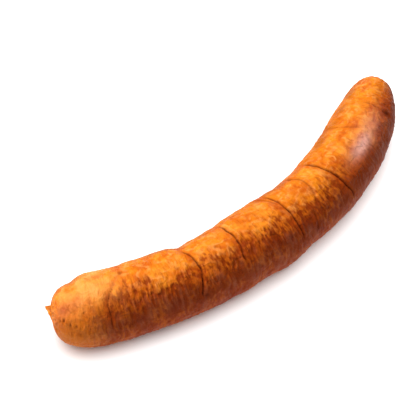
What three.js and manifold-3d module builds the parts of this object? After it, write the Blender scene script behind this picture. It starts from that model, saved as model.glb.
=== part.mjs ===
// A smoked, cured sausage in its natural casing, lying on its side and bent like a shallow bow.
// Millimetres, +Z up. The table is the plane z = 0, and the origin is on it, under the middle of
// the sausage's bounding box. +X runs from the blunt end to the slim end, and +Y points into the
// hollow of the bend.
import * as THREE from "three";
import { mergeVertices } from "three/addons/utils/BufferGeometryUtils.js";
import Module from "manifold-3d";

const wasm = await Module();
wasm.setup();

// The filled casing.
const LENGTH = 222.5; // along the centre line, from tip to tip
const DIAMETER = 32; // where the casing is fullest
const TAPER = 1.1; // what the radius has lost at the slim end
const TAPER_POWER = 5; // a high power keeps the loss to the last third
const BELLY_PRESS = 0.75; // how far the soft belly is pressed flat by the table

// The bow: the centre line turns by BEND degrees from end to end.
const BEND = 69.2;
const BEND_DRIFT = 0.3; // share of the turn that builds up towards the slim end

// The two closed ends, as superellipses: how far from the tip the full radius is reached, and
// how square the shoulder is (2 is an ellipse).
const BLUNT_END = { reach: 27, fullness: 2.8 };
const SLIM_END = { reach: 46, fullness: 2.2 };

// Creases pinched into the casing across the inside of the bend. "at" is a share of LENGTH from
// the blunt tip. "from" and "to" are degrees around the sausage: 0 is the inside of the bend, 90
// the top and 180 the outside.
const CREASES = [
  { at: 0.105, depth: 0.5, width: 1.8, from: 60, to: 175 },
  { at: 0.288, depth: 1.3, width: 1.5, from: -60, to: 175 },
  { at: 0.381, depth: 0.9, width: 1.5, from: -50, to: 150 },
  { at: 0.508, depth: 1.3, width: 1.6, from: -60, to: 165 },
  { at: 0.583, depth: 0.9, width: 1.6, from: -50, to: 140 },
  { at: 0.645, depth: 1.3, width: 1.6, from: -60, to: 170 },
  { at: 0.775, depth: 0.4, width: 1.6, from: -30, to: 110 },
];
const CREASE_FADE = 30; // degrees over which a crease dies out at each of its two ends

// The dry tail of casing left where the link was twisted off and cut. It stands on the blunt
// tip like a small sail, from the middle of the tip up towards the hollow of the bend.
const TAIL_RISE = 5.8; // from the middle of the tip to its upper corner
const TAIL_DROP = 0.8; // from the middle of the tip to its lower end
const TAIL_LENGTH = 2.3; // past the tip, at its upper corner
const TAIL_THICKNESS = 0.9;
const TAIL_ROOT = 4; // how deep its root is buried in the tip
const TAIL_LEAN = 45; // degrees that it leans from upright towards the hollow

// The small twisted button of casing that closes the slim tip.
const BUTTON_DIAMETER = 3.6;
const BUTTON_HEIGHT = 0.9; // past the tip
const BUTTON_ROOT = 2.5; // buried in the tip
const BUTTON_SIDES = 16;
const BUTTON_RIM = 0.4;

// How finely the surface is divided.
const SIDES = 28;
const CAP_RINGS = 12;
const BODY_STEP = 2.2;
const PATH_STEPS = 240;
const MERGE = 1e-3;

const RADIUS = DIAMETER / 2;
const AXIS_HEIGHT = RADIUS - BELLY_PRESS;
const radians = THREE.MathUtils.degToRad;
const smooth = THREE.MathUtils.smoothstep;

// Share of the full radius at a distance from a tip.
function capShare(distance, end) {
  const inward = Math.max(1 - distance / end.reach, 0);
  return Math.max(1 - inward ** end.fullness, 0) ** (1 / end.fullness);
}

function radiusAt(s) {
  const thinned = RADIUS - TAPER * (s / LENGTH) ** TAPER_POWER;
  return thinned * capShare(s, BLUNT_END) * capShare(LENGTH - s, SLIM_END);
}

// Direction of the centre line in the table plane, in radians, at a distance s from the blunt tip.
function headingAt(s) {
  const u = s / LENGTH;
  return radians(BEND) * (u * (1 - BEND_DRIFT) + u * u * BEND_DRIFT);
}

// Point on the centre line: the headings summed by the midpoint rule.
function centreAt(s) {
  const step = s / PATH_STEPS;
  const point = new THREE.Vector3(0, 0, AXIS_HEIGHT);
  for (let i = 0; i < PATH_STEPS; i += 1) {
    const heading = headingAt((i + 0.5) * step);
    point.x += step * Math.cos(heading);
    point.y += step * Math.sin(heading);
  }
  return point;
}

// How deep the creases cut at a place on the casing. around is in degrees.
function creaseDepth(s, around) {
  let depth = 0;
  for (const crease of CREASES) {
    const off = (s - crease.at * LENGTH) / crease.width;
    const begin = smooth(around, crease.from, crease.from + CREASE_FADE);
    const end = 1 - smooth(around, crease.to - CREASE_FADE, crease.to);
    depth += crease.depth * begin * end * Math.exp(-off * off);
  }
  return depth;
}

// Distances along the centre line for the rings: close together on the ends, evenly between.
function ringPlaces() {
  const places = [0];
  for (let i = 1; i < CAP_RINGS; i += 1) {
    places.push(BLUNT_END.reach * (1 - Math.cos((i / CAP_RINGS) * (Math.PI / 2))));
  }
  const bodyLength = LENGTH - BLUNT_END.reach - SLIM_END.reach;
  const bodyRings = Math.round(bodyLength / BODY_STEP);
  for (let i = 0; i <= bodyRings; i += 1) {
    places.push(BLUNT_END.reach + (bodyLength * i) / bodyRings);
  }
  for (let i = CAP_RINGS - 1; i > 0; i -= 1) {
    places.push(LENGTH - SLIM_END.reach * (1 - Math.cos((i / CAP_RINGS) * (Math.PI / 2))));
  }
  places.push(LENGTH);
  return places;
}

// Carries a shape made along a straight +Y axis onto the bow. Its +X side turns to the inside of
// the bend and its -Z side to the top. With creased set, the creases are pinched in.
function bend(geometry, creased) {
  const position = geometry.attributes.position;
  const place = new THREE.Vector3();
  for (let i = 0; i < position.count; i += 1) {
    place.fromBufferAttribute(position, i);
    const s = THREE.MathUtils.clamp(place.y, 0, LENGTH);
    const past = place.y - s;
    let across = place.x;
    let above = -place.z;
    const radius = Math.hypot(across, above);
    if (creased && radius > 0) {
      const turn = THREE.MathUtils.radToDeg(Math.atan2(above, across));
      const around = THREE.MathUtils.euclideanModulo(turn + 90, 360) - 90;
      const share = 1 - (creaseDepth(s, around) * (radius / RADIUS)) / radius;
      across *= share;
      above *= share;
    }
    const heading = headingAt(s);
    const along = new THREE.Vector3(Math.cos(heading), Math.sin(heading), 0);
    const inward = new THREE.Vector3(-Math.sin(heading), Math.cos(heading), 0);
    const point = centreAt(s).addScaledVector(along, past).addScaledVector(inward, across);
    position.setXYZ(i, point.x, point.y, point.z + above);
  }
  return geometry;
}

function filledCasing() {
  const last = ringPlaces().length - 1;
  const profile = ringPlaces().map((s, i) => {
    const onAxis = i === 0 || i === last;
    return new THREE.Vector2(onAxis ? 0 : radiusAt(s), s);
  });
  return bend(new THREE.LatheGeometry(profile, SIDES), true);
}

// A ragged fin: full length at its upper corner and worn away towards the lower one.
function casingTail() {
  const outline = new THREE.Shape();
  outline.moveTo(-TAIL_DROP, TAIL_ROOT);
  outline.lineTo(-TAIL_DROP, 0);
  outline.lineTo(TAIL_RISE * 0.35, -TAIL_LENGTH * 0.4);
  outline.lineTo(TAIL_RISE * 0.7, -TAIL_LENGTH * 0.75);
  outline.lineTo(TAIL_RISE, -TAIL_LENGTH);
  outline.lineTo(TAIL_RISE * 0.9, 0);
  outline.lineTo(TAIL_RISE * 0.7, TAIL_ROOT);
  const settings = { depth: TAIL_THICKNESS, bevelEnabled: false };
  const fin = new THREE.ExtrudeGeometry(outline, settings);
  fin.translate(0, 0, -TAIL_THICKNESS / 2);
  fin.rotateY(Math.PI / 2 - radians(TAIL_LEAN));
  return bend(fin, false);
}

function twistedButton() {
  const radius = BUTTON_DIAMETER / 2;
  const top = LENGTH + BUTTON_HEIGHT;
  const profile = [
    new THREE.Vector2(0, LENGTH - BUTTON_ROOT),
    new THREE.Vector2(radius, LENGTH - BUTTON_ROOT),
    new THREE.Vector2(radius, top - BUTTON_RIM),
    new THREE.Vector2(radius - BUTTON_RIM, top),
    new THREE.Vector2(0, top),
  ];
  return bend(new THREE.LatheGeometry(profile, BUTTON_SIDES), false);
}

// A block whose top is the table, larger than the sausage every way.
function tableBlock() {
  return new THREE.BoxGeometry(LENGTH * 3, LENGTH * 3, DIAMETER).translate(0, 0, -RADIUS);
}

function solidOf(geometry) {
  const bare = geometry.clone();
  bare.deleteAttribute("normal");
  bare.deleteAttribute("uv");
  const merged = mergeVertices(bare, MERGE);
  return new wasm.Manifold(
    new wasm.Mesh({
      numProp: 3,
      vertProperties: merged.attributes.position.array,
      triVerts: new Uint32Array(merged.index.array),
    }),
  );
}

function geometryOf(solid) {
  const { vertProperties, triVerts } = solid.getMesh();
  const geometry = new THREE.BufferGeometry();
  geometry.setAttribute("position", new THREE.BufferAttribute(vertProperties, 3));
  geometry.setIndex(new THREE.BufferAttribute(triVerts, 1));
  return geometry;
}

// Turns the sausage so that its two tips lie along X, and centres it over the origin.
function settle(geometry) {
  const tip = centreAt(LENGTH);
  geometry.rotateZ(-Math.atan2(tip.y, tip.x));
  geometry.computeBoundingBox();
  const middle = geometry.boundingBox.getCenter(new THREE.Vector3());
  geometry.translate(-middle.x, -middle.y, 0);
  geometry.computeVertexNormals();
  return geometry;
}

const whole = solidOf(filledCasing())
  .add(solidOf(casingTail()))
  .add(solidOf(twistedButton()))
  .subtract(solidOf(tableBlock()));

const smokedCasing = new THREE.MeshStandardMaterial({
  color: 0xc8692d,
  roughness: 0.45,
  metalness: 0,
});
const sausage = new THREE.Mesh(settle(geometryOf(whole)), smokedCasing);
sausage.name = "sausage";

const part = new THREE.Group();
part.add(sausage);

export default part;
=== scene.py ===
# %% [markdown]
# A smoked, cured sausage, lying on its side on a pale table.
#
# The imported part gives the plain solid: a round tube bent like a shallow bow. Here it gets its
# skin: a natural casing, drawn tight over coarse meat, pinched into creases where it bends, wrinkled
# from drying, and coloured unevenly by the smoke, with painted shade and painted highlights. First
# the plain part is loaded. It is the frame that everything else has to fit, so its box is kept, to
# place the skin on it.

# %% Load the imported part
import math

import bpy
import numpy as np
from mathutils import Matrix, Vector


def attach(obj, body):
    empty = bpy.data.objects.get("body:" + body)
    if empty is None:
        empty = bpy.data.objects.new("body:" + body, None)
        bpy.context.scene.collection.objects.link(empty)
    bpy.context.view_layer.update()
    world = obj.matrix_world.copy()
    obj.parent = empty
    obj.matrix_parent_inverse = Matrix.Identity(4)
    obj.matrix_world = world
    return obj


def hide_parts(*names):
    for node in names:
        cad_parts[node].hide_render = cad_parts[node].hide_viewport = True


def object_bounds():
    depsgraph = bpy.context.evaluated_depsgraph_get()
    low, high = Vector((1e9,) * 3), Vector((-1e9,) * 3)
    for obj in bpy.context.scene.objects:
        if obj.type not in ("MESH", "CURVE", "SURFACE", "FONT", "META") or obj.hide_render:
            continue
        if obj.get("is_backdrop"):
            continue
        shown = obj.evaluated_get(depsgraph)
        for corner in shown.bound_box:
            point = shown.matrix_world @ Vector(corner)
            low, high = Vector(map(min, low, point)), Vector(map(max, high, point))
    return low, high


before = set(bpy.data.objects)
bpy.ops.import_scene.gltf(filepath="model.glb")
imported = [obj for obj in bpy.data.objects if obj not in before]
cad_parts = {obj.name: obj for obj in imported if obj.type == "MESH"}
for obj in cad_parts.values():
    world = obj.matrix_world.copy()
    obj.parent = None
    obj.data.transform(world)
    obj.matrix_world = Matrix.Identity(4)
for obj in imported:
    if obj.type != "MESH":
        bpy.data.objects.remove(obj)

cad_low, cad_high = (np.array(corner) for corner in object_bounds())
MM = 0.001
print("plain part, mm:", np.round(cad_low / MM, 1), "to", np.round(cad_high / MM, 1))

# %% [markdown]
# The sausage's own sizes, in millimetres, are those of the plain part. Places on the skin are
# named in the way that a sausage is handled: how far along from the blunt end, as a share of the
# length, and how far round, in degrees. 0 degrees is the inside of the bend, 90 is the top, 180
# is the outside and 270 is the belly.

# %% Sizes of the filled casing
LENGTH = 222.5  # along the centre line, from tip to tip
RADIUS = 16.0
TAPER, TAPER_POWER = 1.1, 5  # how much thinner the slim end is, and how late that comes
BELLY_PRESS = 0.75  # the table presses the belly flat by this much
BEND = math.radians(69.2)
BEND_DRIFT = 0.3  # share of the turn that builds up towards the slim end
BLUNT_REACH, BLUNT_FULLNESS = 27.0, 2.8
SLIM_REACH, SLIM_FULLNESS = 46.0, 2.2
print("casing:", LENGTH, "mm long,", 2 * RADIUS, "mm thick, turning", round(math.degrees(BEND), 1))


# %% [markdown]
# The outline of a sausage's end is close to a superellipse: fuller than an ellipse, because the
# filling pushes the casing out, and the number that says how full can differ at the two ends.
# Revolving that outline would make a straight sausage. It could be bent by a curve modifier, but
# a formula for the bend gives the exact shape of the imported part, and keeps every point's place
# on the straight sausage, which the patterns in the skin will need.

# %% The straight outline, and the bend
def cap(distance, reach, fullness):
    """Share of the full radius near a tip: the superellipse (1 - (1 - d / reach)^n)^(1 / n)."""
    inward = np.clip(1 - distance / reach, 0, 1)
    return (1 - inward**fullness) ** (1 / fullness)


def outline(along):
    """Radius at a distance along: the full radius, less the taper, times both ends' shares."""
    thinned = RADIUS - TAPER * (along / LENGTH) ** TAPER_POWER
    blunt = cap(along, BLUNT_REACH, BLUNT_FULLNESS)
    return thinned * blunt * cap(LENGTH - along, SLIM_REACH, SLIM_FULLNESS)


STATIONS = np.linspace(0, LENGTH, 4001)
SHARES = STATIONS / LENGTH
HEADINGS = BEND * (SHARES * (1 - BEND_DRIFT) + SHARES**2 * BEND_DRIFT)
STEP = STATIONS[1]
middle_headings = (HEADINGS[1:] + HEADINGS[:-1]) / 2
CENTRE_X = np.append(0, np.cumsum(np.cos(middle_headings))) * STEP
CENTRE_Y = np.append(0, np.cumsum(np.sin(middle_headings))) * STEP
CHORD = math.atan2(CENTRE_Y[-1], CENTRE_X[-1])


def bend(along, inward, above):
    """Carries a place on the straight sausage onto the bow, in mm, with its tips along X.

    The centre line's point is the sum of its headings up to there. The place is that point, plus
    the inward distance square to the heading, and plus what lies past a tip straight on.
    """
    held = np.clip(along, 0, LENGTH)
    heading = np.interp(held, STATIONS, HEADINGS) - CHORD
    x = np.interp(held, STATIONS, CENTRE_X) * math.cos(CHORD)
    x += np.interp(held, STATIONS, CENTRE_Y) * math.sin(CHORD)
    y = np.interp(held, STATIONS, CENTRE_Y) * math.cos(CHORD)
    y -= np.interp(held, STATIONS, CENTRE_X) * math.sin(CHORD)
    x = x + (along - held) * np.cos(heading) - inward * np.sin(heading)
    y = y + (along - held) * np.sin(heading) + inward * np.cos(heading)
    return np.stack(np.broadcast_arrays(x, y, RADIUS - BELLY_PRESS + above), axis=-1)


# The plain part's slim end and outer side show where the frame has it.
once_round = np.linspace(0, 7, 99)  # in radians, and a little more than once
smooth = bend(STATIONS[:, None], outline(STATIONS)[:, None] * np.cos(once_round), 0)
shift_x = cad_high[0] / MM - smooth[..., 0].max()
shift_y = cad_low[1] / MM - smooth[..., 1].min()
SHIFT = np.array([shift_x, shift_y, 0])
print("shift onto the packed part, mm:", np.round(SHIFT, 2))


# %% [markdown]
# Everything irregular in the skin comes from one kind of noise, gradient noise. It is worked out
# on the straight sausage in three dimensions, so it has no seam along the side and no pinch at
# the tips. Seeded numbers make it the same each time. Measuring in unequal steps, small along
# and large around, draws the noise out round the sausage, as casing wrinkles are.

# %% Noise
NOISE_STRETCH = 1.6  # brings the blended products out to about -1 and 1


def gradient_noise(places, seed):
    """Gradient noise, about -1 to 1, at an array of places (..., 3) one cell apart.

    Each corner of the unit cell round a place has a fixed random direction. The result blends
    the eight dot products of direction and offset by the smooth step 6t^5 - 15t^4 + 10t^3.
    """
    draw = np.random.default_rng(seed)
    order = draw.permutation(256)
    directions = draw.normal(size=(256, 3))
    directions /= np.linalg.norm(directions, axis=1, keepdims=True)
    cell = np.floor(places).astype(int)
    inside = places - cell
    ease = inside**3 * (inside * (inside * 6 - 15) + 10)
    total = np.zeros(places.shape[:-1])
    for corner in np.ndindex(2, 2, 2):
        x, y, z = np.moveaxis((cell + corner) & 255, -1, 0)
        chosen = directions[order[(order[(order[x] + y) & 255] + z) & 255]]
        weight = np.prod(np.where(corner, ease, 1 - ease), axis=-1)
        total += weight * np.sum(chosen * (inside - corner), axis=-1)
    return total * NOISE_STRETCH


def layered_noise(straight, along_mm, around_mm, layers, seed):
    """Sum of noises, each with half the height and half the size of the one before."""
    places = straight / np.array([along_mm, around_mm, around_mm])
    return sum(gradient_noise(places * 2**k, seed + k) / 2**k for k in range(layers))


def ease_in(value, low, high):
    """Smooth step: 0 below low, 1 above high, and 3t^2 - 2t^3 between."""
    t = np.clip((value - low) / (high - low), 0, 1)
    return t * t * (3 - 2 * t)


few_places = np.linspace(0, 9, 5)[:, None] * (1, 0.7, 0.3)
print("noise at five places:", np.round(gradient_noise(few_places, 3), 2))


# %% [markdown]
# The skin is a grid: rings along the sausage, each with the same number of points. Rings at even
# steps of length would leave the tips coarse, so they are spaced evenly along the skin itself.

# %% The grid of the skin
RINGS = 860
SPOKES = 115
skin_length = np.append(0, np.cumsum(np.hypot(np.diff(STATIONS), np.diff(outline(STATIONS)))))
ring_places = np.linspace(0, skin_length[-1], RINGS + 2)[1:-1]
ring_along = np.interp(ring_places, skin_length, STATIONS)
spoke_angles = np.arange(SPOKES) * 360 / SPOKES - 90
ALONG, ROUND = np.meshgrid(ring_along, spoke_angles, indexing="ij")
REACH = outline(ALONG)
STRAIGHT = np.stack([ALONG, REACH * np.cos(np.radians(ROUND)), REACH * np.sin(np.radians(ROUND))], -1)


def spot(share, degrees, long, wide):
    """A soft oval on the skin: exp(-(x / long)^2 - (y / wide)^2), x along and y round, in mm."""
    along = (ALONG - share * LENGTH) / long
    turned = (ROUND - degrees + 180) % 360 - 180
    return np.exp(-(along**2) - (np.radians(turned) * REACH / wide) ** 2)


print("skin grid:", RINGS, "rings,", round(ring_places[0], 2), "mm apart, of", SPOKES, "points")

# %% [markdown]
# A hand-filled link isn't an even tube. Between the places where it was pinched the meat swells,
# and next to them it is drawn in. Each swelling is a soft oval, raised or sunk by about a
# millimetre or less. A sculpting brush would do the same, but numbers can be read and changed.

# %% Swellings and hollows
# Share of the length, degrees round, height, and its size along and round in mm.
SWELLINGS = [
    (0.050, 40, -0.9, 4, 12),
    (0.075, 50, 0.6, 5, 12),
    (0.292, 38, -1.1, 4.5, 16),
    (0.322, 38, -1.0, 6.5, 16),
    (0.355, 38, -0.4, 6, 16),
    (0.430, 34, 0.8, 9, 16),
    (0.495, 32, 0.8, 9, 16),
    (0.555, 30, -0.6, 4, 12),
    (0.610, 28, -0.6, 5, 12),
    (0.430, 212, -0.8, 9, 14),
    (0.485, 210, 0.9, 7, 14),
    (0.545, 208, -0.5, 7, 14),
    (0.660, 203, 0.5, 12, 14),
    (0.735, 118, -0.3, 10, 6),
]
SLIM_SWELL = 1.0  # the slim tip is a little fuller than the plain part's
SLIM_SWELL_RANGE = (0.91, 0.99)  # shares of the length
swelling = SLIM_SWELL * ease_in(ALONG / LENGTH, *SLIM_SWELL_RANGE)
for share, degrees, height, long, wide in SWELLINGS:
    swelling += height * spot(share, degrees, long, wide)
print(len(SWELLINGS), "swellings,", round(swelling.min(), 2), "to", round(swelling.max(), 2), "mm")

# %% [markdown]
# A link that dries while it hangs bent is pushed together on the inside of the bend. The casing can't
# shrink as much as the filling, so it folds there. Each crease is a broad valley across the inside
# and the top, and where the fold runs out over the side it closes to a sharp cut, painted dark as
# painted shade. The casing on the slim end's side of the cut rides up into a small crest, and on the
# blunt end's side its flank is painted darker, as painted shade. Three places, each degrees round and
# a share of the length, say how the crease wanders.

# %% Creases
# The three places, the cut's depth, the valley's depth and the crest's height in mm, and the
# degrees round from which to which the cut runs.
CREASES = [
    ([(78, 0.148), (100, 0.120), (128, 0.101)], 0.45, 0.30, 0.15, (92, 170)),
    ([(80, 0.154), (100, 0.143), (125, 0.122)], 0.12, 0.05, 0.05, (85, 135)),
    ([(75, 0.280), (120, 0.2905), (158, 0.280)], 0.85, 0.75, 0.35, (66, 170)),
    ([(65, 0.379), (90, 0.3835), (130, 0.380)], 0.65, 0.35, 0.30, (52, 150)),
    ([(105, 0.370), (115, 0.374), (128, 0.375)], 0.16, 0.00, 0.05, (104, 132)),
    ([(100, 0.415), (118, 0.4195), (140, 0.418)], 0.28, 0.05, 0.05, (92, 150)),
    ([(60, 0.453), (80, 0.452), (100, 0.460)], 0.14, 0.00, 0.05, (52, 108)),
    ([(60, 0.469), (80, 0.466), (100, 0.473)], 0.14, 0.00, 0.05, (55, 112)),
    ([(40, 0.490), (62, 0.496), (80, 0.504)], 0.30, 0.10, 0.15, (30, 92)),
    ([(55, 0.507), (105, 0.512), (150, 0.513)], 0.85, 0.50, 0.40, (48, 168)),
    ([(125, 0.503), (140, 0.503), (155, 0.506)], 0.35, 0.00, 0.15, (122, 160)),
    ([(60, 0.583), (85, 0.590), (122, 0.576)], 0.40, 0.30, 0.45, (40, 134)),
    ([(135, 0.557), (150, 0.554), (168, 0.549)], 0.30, 0.00, 0.15, (124, 178)),
    ([(60, 0.641), (105, 0.647), (158, 0.660)], 0.80, 0.45, 0.50, (46, 176)),
    ([(60, 0.775), (80, 0.778), (98, 0.786)], 0.25, 0.20, 0.30, (30, 108)),
    ([(90, 0.868), (115, 0.867), (140, 0.871)], 0.25, 0.15, 0.20, (84, 150)),
]
CUT_WIDTH = 0.36
VALLEY_WIDTH = 3.8
CREST_PLACE, CREST_WIDTH = 1.5, 1.1
FOLD_PLACE, FOLD_WIDTH = 1.0, 1.7  # the flank painted darker as shade, on the blunt end's side of the cut
INSIDE_START = -60  # degrees: the valleys begin low on the inside of the bend
CUT_FADE, VALLEY_FADE = 16, 34  # degrees over which a cut and a valley run out
CUT_SHOWS, FOLD_SHOWS = 1.5, 1.8  # how strongly a cut of 1 mm paints shade into itself and its flank


def crease(line, cut, valley, crest, runs):
    """Height change in mm, and the painted shade in the cut and on its flank, over the whole grid.

    The crease's line is the parabola through its three places. With x the distance from that
    line, the cut and the valley are -exp(-(x / width)^2), and the crest the same upwards.
    """
    angles, shares = np.array(line).T
    path = np.polynomial.Polynomial.fit(angles, shares, 2)
    astray = 0.5 * gradient_noise(STRAIGHT / 5, 40) + 0.2 * gradient_noise(STRAIGHT / 1.8, 41)
    off = ALONG - LENGTH * path(np.clip(ROUND, angles[0], angles[-1])) + astray
    begin, end = runs
    closed = ease_in(ROUND, begin, begin + CUT_FADE) * (1 - ease_in(ROUND, end - CUT_FADE, end))
    opened = ease_in(ROUND, INSIDE_START, INSIDE_START + VALLEY_FADE)
    opened *= 1 - ease_in(ROUND, end - VALLEY_FADE, end)
    uneven = 0.9 + 0.3 * gradient_noise(STRAIGHT / 5, 42)
    groove = np.exp(-((off / CUT_WIDTH) ** 2)) * closed * uneven
    height = -cut * groove - valley * np.exp(-((off / VALLEY_WIDTH) ** 2)) * opened
    height += crest * np.exp(-(((off - CREST_PLACE) / CREST_WIDTH) ** 2)) * closed
    flank = np.exp(-(((off + FOLD_PLACE) / FOLD_WIDTH) ** 2)) * opened
    return height, groove * min(CUT_SHOWS * cut, 1), flank * min(FOLD_SHOWS * cut, 1)


shaped = [crease(*settings) for settings in CREASES]
crease_height = sum(height for height, _, _ in shaped)
hollow_shade = sum(mark for _, mark, _ in shaped)
crease_flank_shade = np.clip(sum(flank for _, _, flank in shaped), 0, 1)
print(len(CREASES), "creases, the deepest", round(-crease_height.min(), 2), "mm")

# %% [markdown]
# Between the creases the casing isn't smooth either. The meat under it makes broad lumps, and
# drying draws the casing into short wrinkles that run round the sausage, with some crinkles that
# run every way. Ridged noise, one minus its size, gives them sharp tops as dried skin has. They
# are highest on the outer shoulder. Low on the outer side, where the casing is slack, there are
# fine pleats as well. All of it fades out at the tips.

# %% Lumps, wrinkles and pleats
LUMP_SIZE, LUMP_HEIGHT = 24, 0.40
KNOB_SIZE, KNOB_HEIGHT = 8, 0.26
SWAY, SWAY_SIZE = 1.2, 7  # how far the wrinkles bend off their course, and over what length
WRINKLE_ALONG, WRINKLE_ROUND = 2.4, 7.5  # their size along and round
TIGHT_WRINKLE, LOOSE_WRINKLE = 0.32, 0.62  # heights on the top and on the shoulder
CRINKLE_SIZE, CRINKLE_SHARE = 3.4, 0.5
RIDGE_SHARPNESS = 2.2
PLEAT_ALONG, PLEAT_ROUND, PLEAT_HEIGHT = 1.9, 14, 0.20
SLIM_PART = ease_in(ALONG / LENGTH, 0.62, 0.72)  # past the last deep crease the casing is tighter
lumps = LUMP_HEIGHT * gradient_noise(STRAIGHT / LUMP_SIZE, 3)
knobs = KNOB_HEIGHT * layered_noise(STRAIGHT, KNOB_SIZE, KNOB_SIZE, 2, 7)
sway = SWAY * np.stack([gradient_noise(STRAIGHT / SWAY_SIZE, seed) for seed in (11, 12, 13)], -1)
swayed = STRAIGHT + sway
ridges = 1 - RIDGE_SHARPNESS * np.abs(layered_noise(swayed, WRINKLE_ALONG, WRINKLE_ROUND, 2, 17))
crinkles = 1 - RIDGE_SHARPNESS * np.abs(layered_noise(swayed, CRINKLE_SIZE, CRINKLE_SIZE, 2, 27))
ridges += CRINKLE_SHARE * (crinkles - ridges)
# Wrinkles come in patches, and between the patches a third of their height is left.
patchy = 0.35 + 0.65 * ease_in(gradient_noise(STRAIGHT / 17, 23), -0.35, 0.45)
shoulder = ease_in(ROUND, 84, 112) * (1 - ease_in(ROUND, 132, 158))
shoulder *= 1 - 0.5 * ease_in(ALONG / LENGTH, 0.60, 0.72)  # tighter past the last deep crease
wrinkles = (TIGHT_WRINKLE + (LOOSE_WRINKLE - TIGHT_WRINKLE) * shoulder) * ridges * patchy
# The furrows between the wrinkles are painted darker: painted shade in the recesses.
furrow_shade = ease_in(-ridges, -0.70, 0.10)
slack = ease_in(ROUND, 118, 140) * (1 - ease_in(ROUND, 205, 240))
pleat_rise = 1 - 2 * np.abs(layered_noise(swayed, PLEAT_ALONG, PLEAT_ROUND, 1, 19))
pleats = PLEAT_HEIGHT * pleat_rise * slack
# Paler pleat tops are a painted highlight.
painted_pleat_highlights = ease_in(pleat_rise, 0.2, 1.0) * slack
painted_pleat_highlights *= ease_in(gradient_noise(STRAIGHT / 6, 29), -0.3, 0.5)
calm_tips = ease_in(REACH, 2, 11)
print("wrinkles:", round(np.ptp(wrinkles), 2), "mm from low to high")

# %% [markdown]
# A few spots are dimpled, where a bit of gristle or an air pocket lies under the casing. The dimples
# are painted darker as painted shade, through the same mark as the creases' cuts.

# %% Dimples
# Share of the length, degrees round, depth and size in mm.
DIMPLES = [
    (0.143, 78, 0.30, 0.9),
    (0.338, 97, 0.25, 0.8),
    (0.868, 138, 0.55, 2.0),
    (0.286, 163, 0.40, 0.9),
    (0.600, 132, 0.30, 1.2),
]
DIMPLE_SHADE = 0.55  # how strongly one is painted dark as shade, next to a cut
dimples = np.zeros_like(ALONG)
for share, degrees, depth, size in DIMPLES:
    mark = spot(share, degrees, size, size)
    dimples -= depth * mark
    hollow_shade = hollow_shade + DIMPLE_SHADE * mark
print(len(DIMPLES), "dimples, the deepest", round(-dimples.min(), 2), "mm")

# %% [markdown]
# At each end the casing is gathered and twisted shut. The gathers are small pleats that run out
# from the middle like spokes, with a nub of twisted casing there. At the blunt end the knot pulled
# hardest to one side, and left a short arc of deep pits with ridges of casing between them.

# %% Gathered ends
GATHERS, GATHER_HEIGHT = 17, 0.18
BLUNT_GATHER, SLIM_GATHER = 11, 9  # how far out from the middle the gathers reach
NUB_HEIGHT, NUB_RADIUS = 0.5, 1.5
PITS, PIT_DEPTH, PIT_RADIUS = 5, 0.75, 0.46
PIT_OVAL = 1.7  # how much longer round than along
# How strongly the pits are painted dark, as painted shade.
PIT_SHADE = 0.65
PIT_RIDGE_HEIGHT = 0.50
PIT_START, PIT_STEP = 3.0, 1.6  # mm along, from the tip and from pit to pit
PIT_TURN = (145, 18)  # degrees round of the first pit, and from it to the last
PIT_STRAY = (0.30, 6.0)  # mm along and degrees round that a pit may be off its even place


def gather(seed, reach):
    """Pleats as a cosine of the angle round, strongest between the nub and their reach."""
    turn = np.radians(ROUND) + 0.3 * gradient_noise(STRAIGHT / 3, seed)
    band = ease_in(REACH, 1, 4) * (1 - ease_in(REACH, 0.5 * reach, reach))
    nub = NUB_HEIGHT * np.exp(-((REACH / NUB_RADIUS) ** 2))
    return GATHER_HEIGHT * np.cos(GATHERS * turn) * band + nub


def pit_arc(first, count, radius):
    """A row of oval marks on the blunt shoulder, longer round than along.

    The row starts at first, counted in steps from the pit nearest the tip, and runs outward
    along the shoulder. Seeded numbers move each mark off its even place, and make it weaker.
    """
    draw = np.random.default_rng(61)
    marks = np.zeros_like(ALONG)
    for index in first + np.arange(count):
        stray = draw.normal(size=2) * PIT_STRAY
        along = PIT_START + PIT_STEP * index + stray[0]
        turned = PIT_TURN[0] + PIT_TURN[1] * index / (PITS - 1) + stray[1]
        marks += draw.uniform(0.6, 1.0) * spot(along / LENGTH, turned, radius, PIT_OVAL * radius)
    return marks


tips = np.where(ALONG < LENGTH / 2, gather(31, BLUNT_GATHER), gather(32, SLIM_GATHER))
pits = pit_arc(0, PITS, PIT_RADIUS)
pit_ridges = pit_arc(0.5, PITS - 1, PIT_RADIUS)
# The pits are painted dark as painted shade, in the same mark as the cuts.
hollow_shade = np.clip(hollow_shade + PIT_SHADE * pits, 0, 1)
relief = (lumps + knobs + wrinkles + pleats) * calm_tips + swelling + crease_height + dimples
relief += tips - PIT_DEPTH * pits + PIT_RIDGE_HEIGHT * pit_ridges
print("relief:", round(relief.min(), 2), "to", round(relief.max(), 2), "mm")

# %% [markdown]
# The outer side of the bend, away from the key light, is painted darker: partly the smoke's brown,
# partly painted shade. It is darkest low down, and spares the belly and the blunt tip. Its edge
# wanders over the shoulder as the casing does, and there it is mottled: smoke lies in spots and
# streaks, painted shade in the furrows, and painted glints on the tops of the ridges. Past the last
# deep crease the casing is tighter and the mottling is more even.

# %% Smoke and painted shade on the casing
# Each range is in degrees round, from where the change begins to where it is full.
SMOKED_AND_SHADED = (94, 138)
DARKEST_SMOKE_AND_SHADE, DARKEST_ENDS = (126, 160), (200, 240)  # the darkest part
MOTTLED, EVEN_AGAIN = (80, 122), (140, 168)
RIDGE_GLINTS_END = (124, 156)
BELLY = (220, 256)
BLUNT_LOWERING = 16  # near the blunt end the even smoke starts this many degrees lower
wander = 16 * gradient_noise(STRAIGHT / 13, 51) + 9 * gradient_noise(STRAIGHT / 4.5, 52)
wandering = ROUND + wander
clean_belly = ease_in(ROUND + 0.5 * wander, *BELLY)
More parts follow.
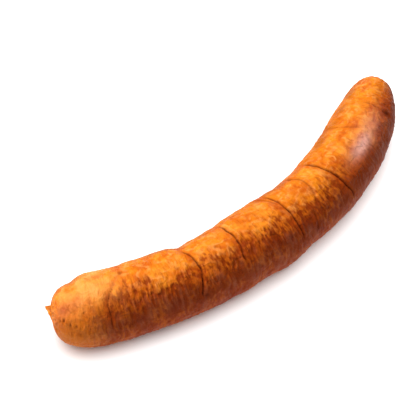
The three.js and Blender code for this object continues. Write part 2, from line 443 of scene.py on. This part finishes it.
# The outer side's brown is partly the smoke's colour and partly painted shade, away from the key
# light.
smoked = ease_in(wandering, *SMOKED_AND_SHADED) * (1 - clean_belly)
smoked *= 0.28 + 0.72 * ease_in(ALONG, 8, 40)  # the blunt end is the paler one
smoked *= 1 - 0.45 * ease_in(ALONG, 205, 221)
# The darkest part, low on the outer side and on the first crease's blunt flank, is painted shade over
# the smoke.
darkest_smoke_and_shade = smoked * ease_in(wandering, *DARKEST_SMOKE_AND_SHADE) * (1 - ease_in(wandering, *DARKEST_ENDS))
darkest_smoke_and_shade = np.clip(darkest_smoke_and_shade + 0.7 * spot(0.101, 138, 2.8, 9), 0, 1)  # along the first crease
lowered = BLUNT_LOWERING * (1 - ease_in(ALONG / LENGTH, 0.27, 0.30))
mottled = ease_in(wandering - 0.2 * lowered, *MOTTLED) * (1 - clean_belly)
mottled *= 1 - 0.30 * ease_in(wandering - lowered, *EVEN_AGAIN)
mottled *= ease_in(ALONG, 0, 22) * (1 - 0.70 * SLIM_PART)
# Bright ridge tops in the mottled band are painted glints: a painted highlight.
painted_ridge_glints = ease_in(ridges, 0.15, 0.85) * smoked * calm_tips
painted_ridge_glints *= ease_in(gradient_noise(STRAIGHT / 8, 63), -0.45, 0.35)
painted_ridge_glints *= 1 - 0.35 * ease_in(wandering, *RIDGE_GLINTS_END)
painted_ridge_glints *= 1 - 0.80 * SLIM_PART
print("share of the skin that is smoked brown:", round(smoked.mean(), 2))

# %% [markdown]
# The rest of the marks change only the colour and the gloss. The inside of the bend, which catches
# the key light, is painted a deeper, darker orange: painted shade. Where the link touched another one
# in the smoke, the casing is pale and slick. Fat shows bright low on the blunt end, and a bruise of
# lean meat red above it. On the blunt end's top, pale patches are painted highlights, with a painted
# sheen in patches.

# %% Other marks on the casing
# The inside of the bend is painted a deeper orange: painted shade where the key light falls
# strongest.
INSIDE_SHADE_ENDS = (48, 68)  # degrees either way from the inside of the bend
inside_painted_shade = 1 - ease_in(np.abs(ROUND), *INSIDE_SHADE_ENDS)
inside_painted_shade *= 1 - 0.45 * ease_in(gradient_noise(STRAIGHT / 9, 64), -0.3, 0.5)
touched = spot(0.748, 120, 8.5, 3.0) + 0.30 * spot(0.800, 115, 13, 5)
mottled *= 1 - np.clip(1.5 * touched, 0, 1)  # the smoke didn't reach under the other link
flushed = spot(0.030, 150, 9, 14)
bruised = spot(0.020, 117, 3.2, 3.0) + 0.5 * spot(0.045, 112, 3, 3)
# Pale patches on the blunt end's top and inner edge are painted highlights, and the noise patches
# near the blunt tip are a painted sheen.
painted_highlights = spot(0.078, 97, 9, 7) + spot(0.100, 46, 8, 5)
blunt_painted_sheen = 0.9 * ease_in(gradient_noise(STRAIGHT / 5, 61), -0.2, 0.6) * (1 - ease_in(ALONG, 14, 34))
painted_highlights += blunt_painted_sheen * ease_in(ROUND, 40, 70) * (1 - ease_in(ROUND, 112, 140))
marks = dict(
    hollow_shade=hollow_shade,
    painted_pleat_highlights=painted_pleat_highlights,
    crease_flank_shade=crease_flank_shade,
    furrow_shade=furrow_shade * calm_tips,
    painted_ridge_glints=painted_ridge_glints,
    smoked=smoked,
    darkest_smoke_and_shade=darkest_smoke_and_shade,
    mottled=mottled,
    inside_painted_shade=inside_painted_shade,
    touched=touched,
    flushed=flushed,
    bruised=bruised,
    painted_highlights=painted_highlights,
)
print("marks:", ", ".join(marks))

# %% [markdown]
# Now the relief is added, square to the straight skin, and the whole is bent. Where it would sink
# into the table it is pressed flat, with a soft turn instead of an edge, as a belly rests. Two
# single points close the tips. The mesh keeps facts for its material: each point's place on the
# straight sausage, in millimetres, and the pinch and the marks there, from 0 to 1.

# %% The skin's mesh
BELLY_SOFTNESS = 0.12
STEEPEST = 40  # slope at which the outline's tips count as square to the length


def raised(height):
    """Places on the straight sausage, moved by height along the outline's normal."""
    slope = np.gradient(outline(STATIONS), STATIONS)
    steep = np.arctan(np.interp(ALONG, STATIONS, np.clip(slope, -STEEPEST, STEEPEST)))
    grown = REACH + height * np.cos(steep)
    along = ALONG - height * np.sin(steep)
    return along, grown * np.cos(np.radians(ROUND)), grown * np.sin(np.radians(ROUND))


def rest_on_table(points):
    """Presses what is under the table flat: z becomes (z + sqrt(z^2 + 4 softness^2)) / 2."""
    z = points[..., 2]
    points[..., 2] = (z + np.sqrt(z**2 + 4 * BELLY_SOFTNESS**2)) / 2
    return points


def add_mesh(name, points, faces):
    """A smooth mesh object at the origin from points in mm and a list of faces."""
    mesh = bpy.data.meshes.new(name)
    mesh.from_pydata(np.asarray(points) * MM, [], faces)
    mesh.shade_smooth()
    piece = bpy.data.objects.new(name, mesh)
    bpy.context.scene.collection.objects.link(piece)
    return piece


def closed_faces(rings, spokes):
    """Quads between neighbouring rings, and a fan to the point that closes each tip."""
    first = np.arange(rings * spokes).reshape(rings, spokes)
    after = np.roll(first, -1, axis=1)
    quads = np.stack([first[:-1], after[:-1], after[1:], first[1:]], -1).reshape(-1, 4)
    start = np.full(spokes, rings * spokes)
    low = np.stack([start, after[0], first[0]], -1)
    high = np.stack([start + 1, first[-1], after[-1]], -1)
    return [*quads.tolist(), *low.tolist(), *high.tolist()]


body = rest_on_table(bend(*raised(relief))) + SHIFT
tip_ends = np.array([-relief[0].mean(), LENGTH + relief[-1].mean()])
tip_points = bend(tip_ends, 0, 0) + SHIFT
skin_points = [*body.reshape(-1, 3), *tip_points]
skin = add_mesh("sausage_skin", skin_points, closed_faces(RINGS, SPOKES))
straight_place = skin.data.attributes.new("straight_mm", "FLOAT_VECTOR", "POINT")
tip_places = [(0, 0, 0), (LENGTH, 0, 0)]
straight_place.data.foreach_set("vector", np.vstack([STRAIGHT.reshape(-1, 3), tip_places]).ravel())
for name, mark in marks.items():
    kept = skin.data.attributes.new(name, "FLOAT", "POINT")
    kept.data.foreach_set("value", np.append(mark.ravel(), [0, 0]))
print("skin:", len(skin.data.polygons), "faces")

# %% [markdown]
# The dry tail of casing left at the blunt end is a thin, stiff scrap. It stands on the tip like a
# small sail: nothing at its lower corner, in the middle of the tip, and longest at its upper one.
# Its thickness comes from a Solidify modifier, because two copies of a sheet by hand would need
# their rims sewn.

# %% The tail of casing
TAIL_RISE, TAIL_DROP = 5.8, 0.8  # from the middle of the tip to its upper and lower corners
TAIL_REACH = 2.3
TAIL_ROOT = 2.5  # how deep it is sunk in the tip
TAIL_LEAN = math.radians(45)  # from upright towards the hollow of the bend
TAIL_THICKNESS = 0.35
TAIL_NARROW = 0.12  # share of the reach that its lower corner has
RAGGED, CURL = 0.12, 0.30  # mm by which its edge is uneven, and by which it bends sideways
up, out = np.meshgrid(np.linspace(0, 1, 25), np.linspace(0, 1, 13), indexing="ij")
tail_up = up * (TAIL_RISE + TAIL_DROP) - TAIL_DROP
edge = TAIL_REACH * (TAIL_NARROW + (1 - TAIL_NARROW) * up) + RAGGED * np.sin(up * 17)
tail_along = TAIL_ROOT - out * (TAIL_ROOT + edge)
tail_side = CURL * np.sin(up * 7 + out * 2) * out
tail_points = bend(
    tail_along,
    tail_up * math.sin(TAIL_LEAN) + tail_side * math.cos(TAIL_LEAN),
    tail_up * math.cos(TAIL_LEAN) - tail_side * math.sin(TAIL_LEAN),
)
corner = np.arange(up.size).reshape(up.shape)
tail_faces = np.stack([corner[:-1, :-1], corner[1:, :-1], corner[1:, 1:], corner[:-1, 1:]], -1)
tail_places = (tail_points + SHIFT).reshape(-1, 3)
tail = add_mesh("casing_tail", tail_places, tail_faces.reshape(-1, 4).tolist())
solid = tail.modifiers.new("thickness", "SOLIDIFY")
solid.thickness = TAIL_THICKNESS * MM
solid.offset = 0
print("tail:", len(tail.data.polygons), "faces, past the tip by", TAIL_REACH, "mm")


# %% [markdown]
# Materials come next. Colours are chosen as sRGB hex values, which is how they are seen, and one
# function turns them linear for the shader. Another adds a node with its settings and links.

# %% Colour and node helpers
def linear(code, alpha=1.0):
    """sRGB hex to linear: c / 12.92 up to 0.04045, and ((c + 0.055) / 1.055)^2.4 above."""
    parts = np.array([int(code[i : i + 2], 16) for i in (1, 3, 5)]) / 255
    above = ((parts + 0.055) / 1.055) ** 2.4
    return (*np.where(parts <= 0.04045, parts / 12.92, above), alpha)


def add_node(tree, kind, inputs, stops=(), **settings):
    """Adds a node with its settings, and gives back its first working output.

    Inputs are by name or number. Each is a value, or another node's output to link from. Stops
    are a colour ramp's places and colours.
    """
    made = tree.nodes.new(kind)
    for name, value in settings.items():
        setattr(made, name, value)
    for name, value in inputs.items():
        if isinstance(value, bpy.types.NodeSocket):
            tree.links.new(value, made.inputs[name])
        else:
            made.inputs[name].default_value = value
    for index, (position, colour) in enumerate(stops):
        if index > 1:
            made.color_ramp.elements.new(1)
        made.color_ramp.elements[index].position = position
        made.color_ramp.elements[index].color = linear(colour)
    return next((output for output in made.outputs if output.enabled), None)


print("middle grey, #808080, is", round(linear("#808080")[0], 3), "in linear light")


# %% [markdown]
# Smoked natural casing over cured pork. The casing is a thin, greasy membrane, so the light goes a
# little way in before it comes back, and the meat's colour shows through it: pale orange over fat,
# deep orange over lean. Smoke and drying turn it red-brown, and the outer side, away from the key
# light, is painted darker still as painted shade. Smoke lies in spots and streaks that run round with
# the wrinkles, and the furrows get painted shade. Every size below is the real one in millimetres.

# %% Smoked casing: the places it reads, and its noise
casing = bpy.data.materials.new("smoked_natural_casing")
casing.use_nodes = True
tree = casing.node_tree
tree.nodes.clear()
place_colour = add_node(tree, "ShaderNodeAttribute", {}, attribute_name="straight_mm")
place = place_colour.node.outputs["Vector"]
facts = {}
for name in marks:
    fact_colour = add_node(tree, "ShaderNodeAttribute", {}, attribute_name=name)
    facts[name] = fact_colour.node.outputs["Fac"]

# Size along and round in mm, layers of detail, roughness of the layers, distortion.
PATTERNS = {
    "warmth": (9, 7, 2, 0.5, 0.6),
    "sheen_and_fat": (4.5, 4, 3, 0.5, 1.0),
    "blotches": (3.2, 4.4, 3, 0.5, 1.0),
    "streaks": (1.2, 5.0, 3, 0.55, 1.2),
    "grain": (0.7, 1.0, 2, 0.6, 0.0),
}
noise = {}
for index, (name, (along, around, *character)) in enumerate(PATTERNS.items()):
    spread = {"Scale": (1 / along, 1 / around, 1 / around), "Location": (9 * index, 4 * index, 0)}
    moved = add_node(tree, "ShaderNodeMapping", {"Vector": place, **spread})
    settings = dict(zip(("Detail", "Roughness", "Distortion"), character))
    noise[name] = add_node(tree, "ShaderNodeTexNoise", {"Vector": moved, "Scale": 1, **settings})
print("patterns:", ", ".join(PATTERNS))

# %% [markdown]
# The ground colour first: the lit side's orange and the outer side's brown, each a ramp that drifts
# between the meat's warmer and paler places, mixed by the share of smoke and painted shade. Over the
# lit side lies a faint, pale painted sheen, in patches.

# %% Smoked casing: ground colour
lit_side_orange = add_node(
    tree,
    "ShaderNodeValToRGB",
    {"Fac": noise["warmth"]},
    stops=[(0.34, "#CE7A1C"), (0.50, "#C4690C"), (0.66, "#AE5006")],
)
shaded_side_brown = add_node(
    tree,
    "ShaderNodeValToRGB",
    {"Fac": noise["warmth"]},
    stops=[(0.38, "#A84A0C"), (0.62, "#842E04")],
)
# Pale peach patches over the lit side are a painted sheen.
painted_sheen = add_node(
    tree,
    "ShaderNodeMapRange",
    {"Value": noise["sheen_and_fat"], "From Min": 0.46, "From Max": 0.66, "To Max": 0.55},
    interpolation_type="SMOOTHSTEP",
)
with_painted_sheen = add_node(
    tree, "ShaderNodeMix", {0: painted_sheen, 6: lit_side_orange, 7: linear("#D68C46")}, data_type="RGBA"
)
ground = add_node(
    tree, "ShaderNodeMix", {0: facts["smoked"], 6: with_painted_sheen, 7: shaded_side_brown}, data_type="RGBA"
)
print("ground colour:", len(tree.nodes), "nodes so far")

# %% [markdown]
# Smoke over the ground. Each layer has an amount, from noise through a smooth step, and mixes in the
# smoke's dark brown. Both layers are weighed by the mottled share and by the painted furrow shade, so
# they gather where the casing is wrinkled and paint shade into the furrows, and leave the top and the
# inside clean.

# %% Smoked casing: smoke in spots and streaks, and painted shade in the furrows
SMOKE = linear("#5C1400")
LAYERS = {
    # The noise, the mottled share's weight, the painted furrow shade's weight, the sum at which the
    # smoke begins and at which it is full, and the most of it.
    "spots": ("blotches", 0.28, 0.24, 0.68, 1.08, 0.75),
    "lines": ("streaks", 0.26, 0.20, 0.68, 0.98, 0.85),
}
colour = ground
amounts = {}
for layer, (pattern, by_mottle, by_furrow_shade, begins, full, most) in LAYERS.items():
    weighed = add_node(
        tree,
        "ShaderNodeMath",
        {0: facts["mottled"], 1: by_mottle, 2: noise[pattern]},
        operation="MULTIPLY_ADD",
    )
    gathered = add_node(
        tree,
        "ShaderNodeMath",
        {0: facts["furrow_shade"], 1: by_furrow_shade, 2: weighed},
        operation="MULTIPLY_ADD",
    )
    strongest = add_node(
        tree, "ShaderNodeMath", {0: facts["mottled"], 1: most}, operation="MULTIPLY"
    )
    amounts[layer] = add_node(
        tree,
        "ShaderNodeMapRange",
        {"Value": gathered, "From Min": begins, "From Max": full, "To Max": strongest},
        interpolation_type="SMOOTHSTEP",
    )
    colour = add_node(
        tree, "ShaderNodeMix", {0: amounts[layer], 6: colour, 7: SMOKE}, data_type="RGBA"
    )

print("smoke layers:", ", ".join(LAYERS))

# %% [markdown]
# Last come the marks that the mesh keeps. Each mixes in its own colour, by its own share and no more
# than the amount given here. Several are painted light: painted shade in the darkest low part, in the
# furrows, on the inside of the bend, on the creases' flanks and in the cuts, dimples and pits;
# painted highlights on the ridge tops, the pleat tops and the blunt end's top. The dark, wide marks
# come before the small, bright ones, and the painted shade in the cuts, dimples and pits comes last,
# because nothing lies over it.

# %% Smoked casing: marks, painted highlights and painted shade
MARK_COLOURS = {
    "darkest_smoke_and_shade": (0.80, "#742404"),
    "furrow_shade": (0.34, "#9C4004"),
    "painted_ridge_glints": (0.60, "#C8620E"),
    "painted_pleat_highlights": (0.16, "#B07050"),
    "inside_painted_shade": (0.85, "#924800"),
    "painted_highlights": (0.50, "#DC9048"),
    "flushed": (0.60, "#D06E1C"),
    "touched": (0.74, "#C69486"),
    "bruised": (0.60, "#8C4030"),
    "crease_flank_shade": (0.55, "#9C3C06"),
    "hollow_shade": (1.00, "#400A00"),
}
for name, (most, tint) in MARK_COLOURS.items():
    amount = add_node(
        tree, "ShaderNodeMath", {0: facts[name], 1: most}, operation="MULTIPLY", use_clamp=True
    )
    colour = add_node(
        tree, "ShaderNodeMix", {0: amount, 6: colour, 7: linear(tint)}, data_type="RGBA"
    )
print("marks mixed in:", len(MARK_COLOURS))

# %% [markdown]
# The surface. The casing is satin, a little more in some places than in others. It is slick where
# another link touched it, and dull in spots of smoke and in the pinches. Wrinkles too fine for
# the mesh are a bump: the fat stands proud, the streaks are furrows, and the grain is finer still.

# %% Smoked casing: surface
rough = add_node(
    tree,
    "ShaderNodeMapRange",
    {"Value": noise["blotches"], "From Min": 0.3, "From Max": 0.7, "To Min": 0.46, "To Max": 0.60},
)
ROUGHER_BY = [(facts["touched"], -0.14), (amounts["spots"], 0.25), (facts["hollow_shade"], 0.3)]
for share, change in ROUGHER_BY:
    rough = add_node(
        tree, "ShaderNodeMath", {0: share, 1: change, 2: rough}, operation="MULTIPLY_ADD"
    )
lined = add_node(
    tree,
    "ShaderNodeMath",
    {0: noise["streaks"], 1: -1.0, 2: noise["sheen_and_fat"]},
    operation="MULTIPLY_ADD",
)
height = add_node(
    tree,
    "ShaderNodeMath",
    {0: noise["grain"], 1: 0.25, 2: lined},
    operation="MULTIPLY_ADD",
)
bump = add_node(
    tree, "ShaderNodeBump", {"Height": height, "Strength": 0.8, "Distance": 0.8 * MM}
)
shader = add_node(
    tree,
    "ShaderNodeBsdfPrincipled",
    {
        "Base Color": colour,
        "Roughness": rough,
        "Normal": bump,
        "IOR": 1.4,
        "Specular IOR Level": 0.07,
        "Subsurface Weight": 0.06,
        "Subsurface Radius": (1.0, 0.3, 0.1),
        "Subsurface Scale": 1.5 * MM,
    },
)
add_node(tree, "ShaderNodeOutputMaterial", {"Surface": shader})
skin.data.materials.append(casing)
print("casing material:", len(tree.nodes), "nodes")

# %% [markdown]
# The tail is the same casing with no meat behind it, dried to a stiff, amber, see-through scrap.
# Light passes through it, which subsurface scattering stands for, and its grain is that of dried
# gut, about a millimetre across.

# %% Dry casing for the tail
dry = bpy.data.materials.new("dry_casing_scrap")
dry.use_nodes = True
dry_tree = dry.node_tree
dry_tree.nodes.clear()
GUT_GRAIN = 1.2 * MM
dry_place = add_node(dry_tree, "ShaderNodeTexCoord", {}).node.outputs["Object"]
gut = add_node(
    dry_tree, "ShaderNodeTexNoise", {"Vector": dry_place, "Scale": 1 / GUT_GRAIN, "Detail": 3}
)
amber = add_node(
    dry_tree,
    "ShaderNodeValToRGB",
    {"Fac": gut},
    stops=[(0.35, "#A85A12"), (0.65, "#DE8A24")],
)
crinkle = add_node(
    dry_tree, "ShaderNodeBump", {"Height": gut, "Strength": 0.5, "Distance": 0.2 * MM}
)
dry_shader = add_node(
    dry_tree,
    "ShaderNodeBsdfPrincipled",
    {
        "Base Color": amber,
        "Normal": crinkle,
        "Roughness": 0.45,
        "Subsurface Weight": 0.3,
        "Subsurface Scale": 1.0 * MM,
    },
)
add_node(dry_tree, "ShaderNodeOutputMaterial", {"Surface": dry_shader})
tail.data.materials.append(dry)
print("dry casing material:", len(dry_tree.nodes), "nodes")

# %% [markdown]
# Both pieces stand for the one imported node and ride on its body.

# %% Tie the pieces to the imported part
for piece in (skin, tail):
    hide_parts("sausage")
    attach(piece, "root")
print("pieces tied:", skin.name, "and", tail.name)

# %% [markdown]
# The table is a plain white board. The camera looks down on the sausage from the side of its
# outer curve, with a long lens from an arm's length away. The sausage lies towards the camera's
# side of the middle, so the aim is past it, in the hollow of the bend.

# %% Table and camera
TABLE_SIZE = 6.0
AIM = (-0.8 * MM, 34.5 * MM)
CAMERA_TURN = math.radians(-44.5)
CAMERA_TILT = math.radians(48)
CAMERA_DISTANCE = 712 * MM
bpy.ops.mesh.primitive_plane_add(size=TABLE_SIZE)
table = bpy.context.object
table.name = "table"
board = bpy.data.materials.new("matt_white_board")
board.use_nodes = True
board.node_tree.nodes.clear()
board_shader = add_node(
    board.node_tree,
    "ShaderNodeBsdfPrincipled",
    {
        "Base Color": linear("#F4F4F4"),
        "Roughness": 0.7,
        "Emission Color": (1, 1, 1, 1),
        "Emission Strength": 0.05,
    },
)
add_node(board.node_tree, "ShaderNodeOutputMaterial", {"Surface": board_shader})
table.data.materials.append(board)
table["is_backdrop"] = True

back = np.array(
    [
        math.sin(CAMERA_TURN) * math.cos(CAMERA_TILT),
        -math.cos(CAMERA_TURN) * math.cos(CAMERA_TILT),
        math.sin(CAMERA_TILT),
    ]
)
camera = bpy.data.objects.new("camera", bpy.data.cameras.new("camera"))
camera.data.lens = 135
camera.data.sensor_width = 36
camera.location = np.array([*AIM, 0]) + back * CAMERA_DISTANCE
camera.rotation_euler = (math.pi / 2 - CAMERA_TILT, 0, CAMERA_TURN)
camera.data.clip_start = 0.01
bpy.context.scene.collection.objects.link(camera)
bpy.context.scene.camera = camera
print("camera at, mm:", np.round(np.array(camera.location) / MM))

# %% [markdown]
# A studio lights a product and the board under it with separate lamps, so that the board is pure
# white and the product still has shape. Here each lamp is told what it falls on. The key is a
# soft box, high on the hollow side of the bend and a little towards the blunt end: the inside and
# the top of the sausage catch it, and the outer side is left to the room and the bright board.
# The board's own lamp is a wide one overhead, like a white ceiling, so the only shadow is the
# soft one under the overhang.

# %% Light
def add_softbox(name, direction, distance, size, power, falls_on):
    """A square area light in a direction, facing the middle of the table, for some pieces.

    Distance and size are in metres, and power in watts.
    """
    lamp = bpy.data.lights.new(name, "AREA")
    lamp.size = size
    lamp.energy = power
    holder = bpy.data.objects.new(name, lamp)
    towards = np.array(direction) / np.linalg.norm(direction)
    holder.location = towards * distance
    holder.rotation_euler = (0, math.acos(towards[2]), math.atan2(towards[1], towards[0]))
    bpy.context.scene.collection.objects.link(holder)
    receivers = bpy.data.collections.new(name + "_falls_on")
    for piece in falls_on:
        receivers.objects.link(piece)
    holder.light_linking.receiver_collection = receivers


KEY_POWER, BOARD_POWER = 31, 125  # watts
add_softbox("key", (-0.12, 0.42, 0.90), 1.2, 0.5, KEY_POWER, [skin, tail])
add_softbox("board_lamp", (0.0, 0.0, 1.0), 2.0, 3.1, BOARD_POWER, [table])
world = bpy.data.worlds.new("room")
world.use_nodes = True
ROOM_BRIGHTNESS = 0.18
room_light = world.node_tree.nodes["Background"].inputs
room_light["Color"].default_value = (1, 1, 1, 1)
room_light["Strength"].default_value = ROOM_BRIGHTNESS
bpy.context.scene.world = world
bpy.context.scene.view_settings.view_transform = "Standard"
print("lamps, W:", KEY_POWER, "on the sausage and", BOARD_POWER, "on the board")
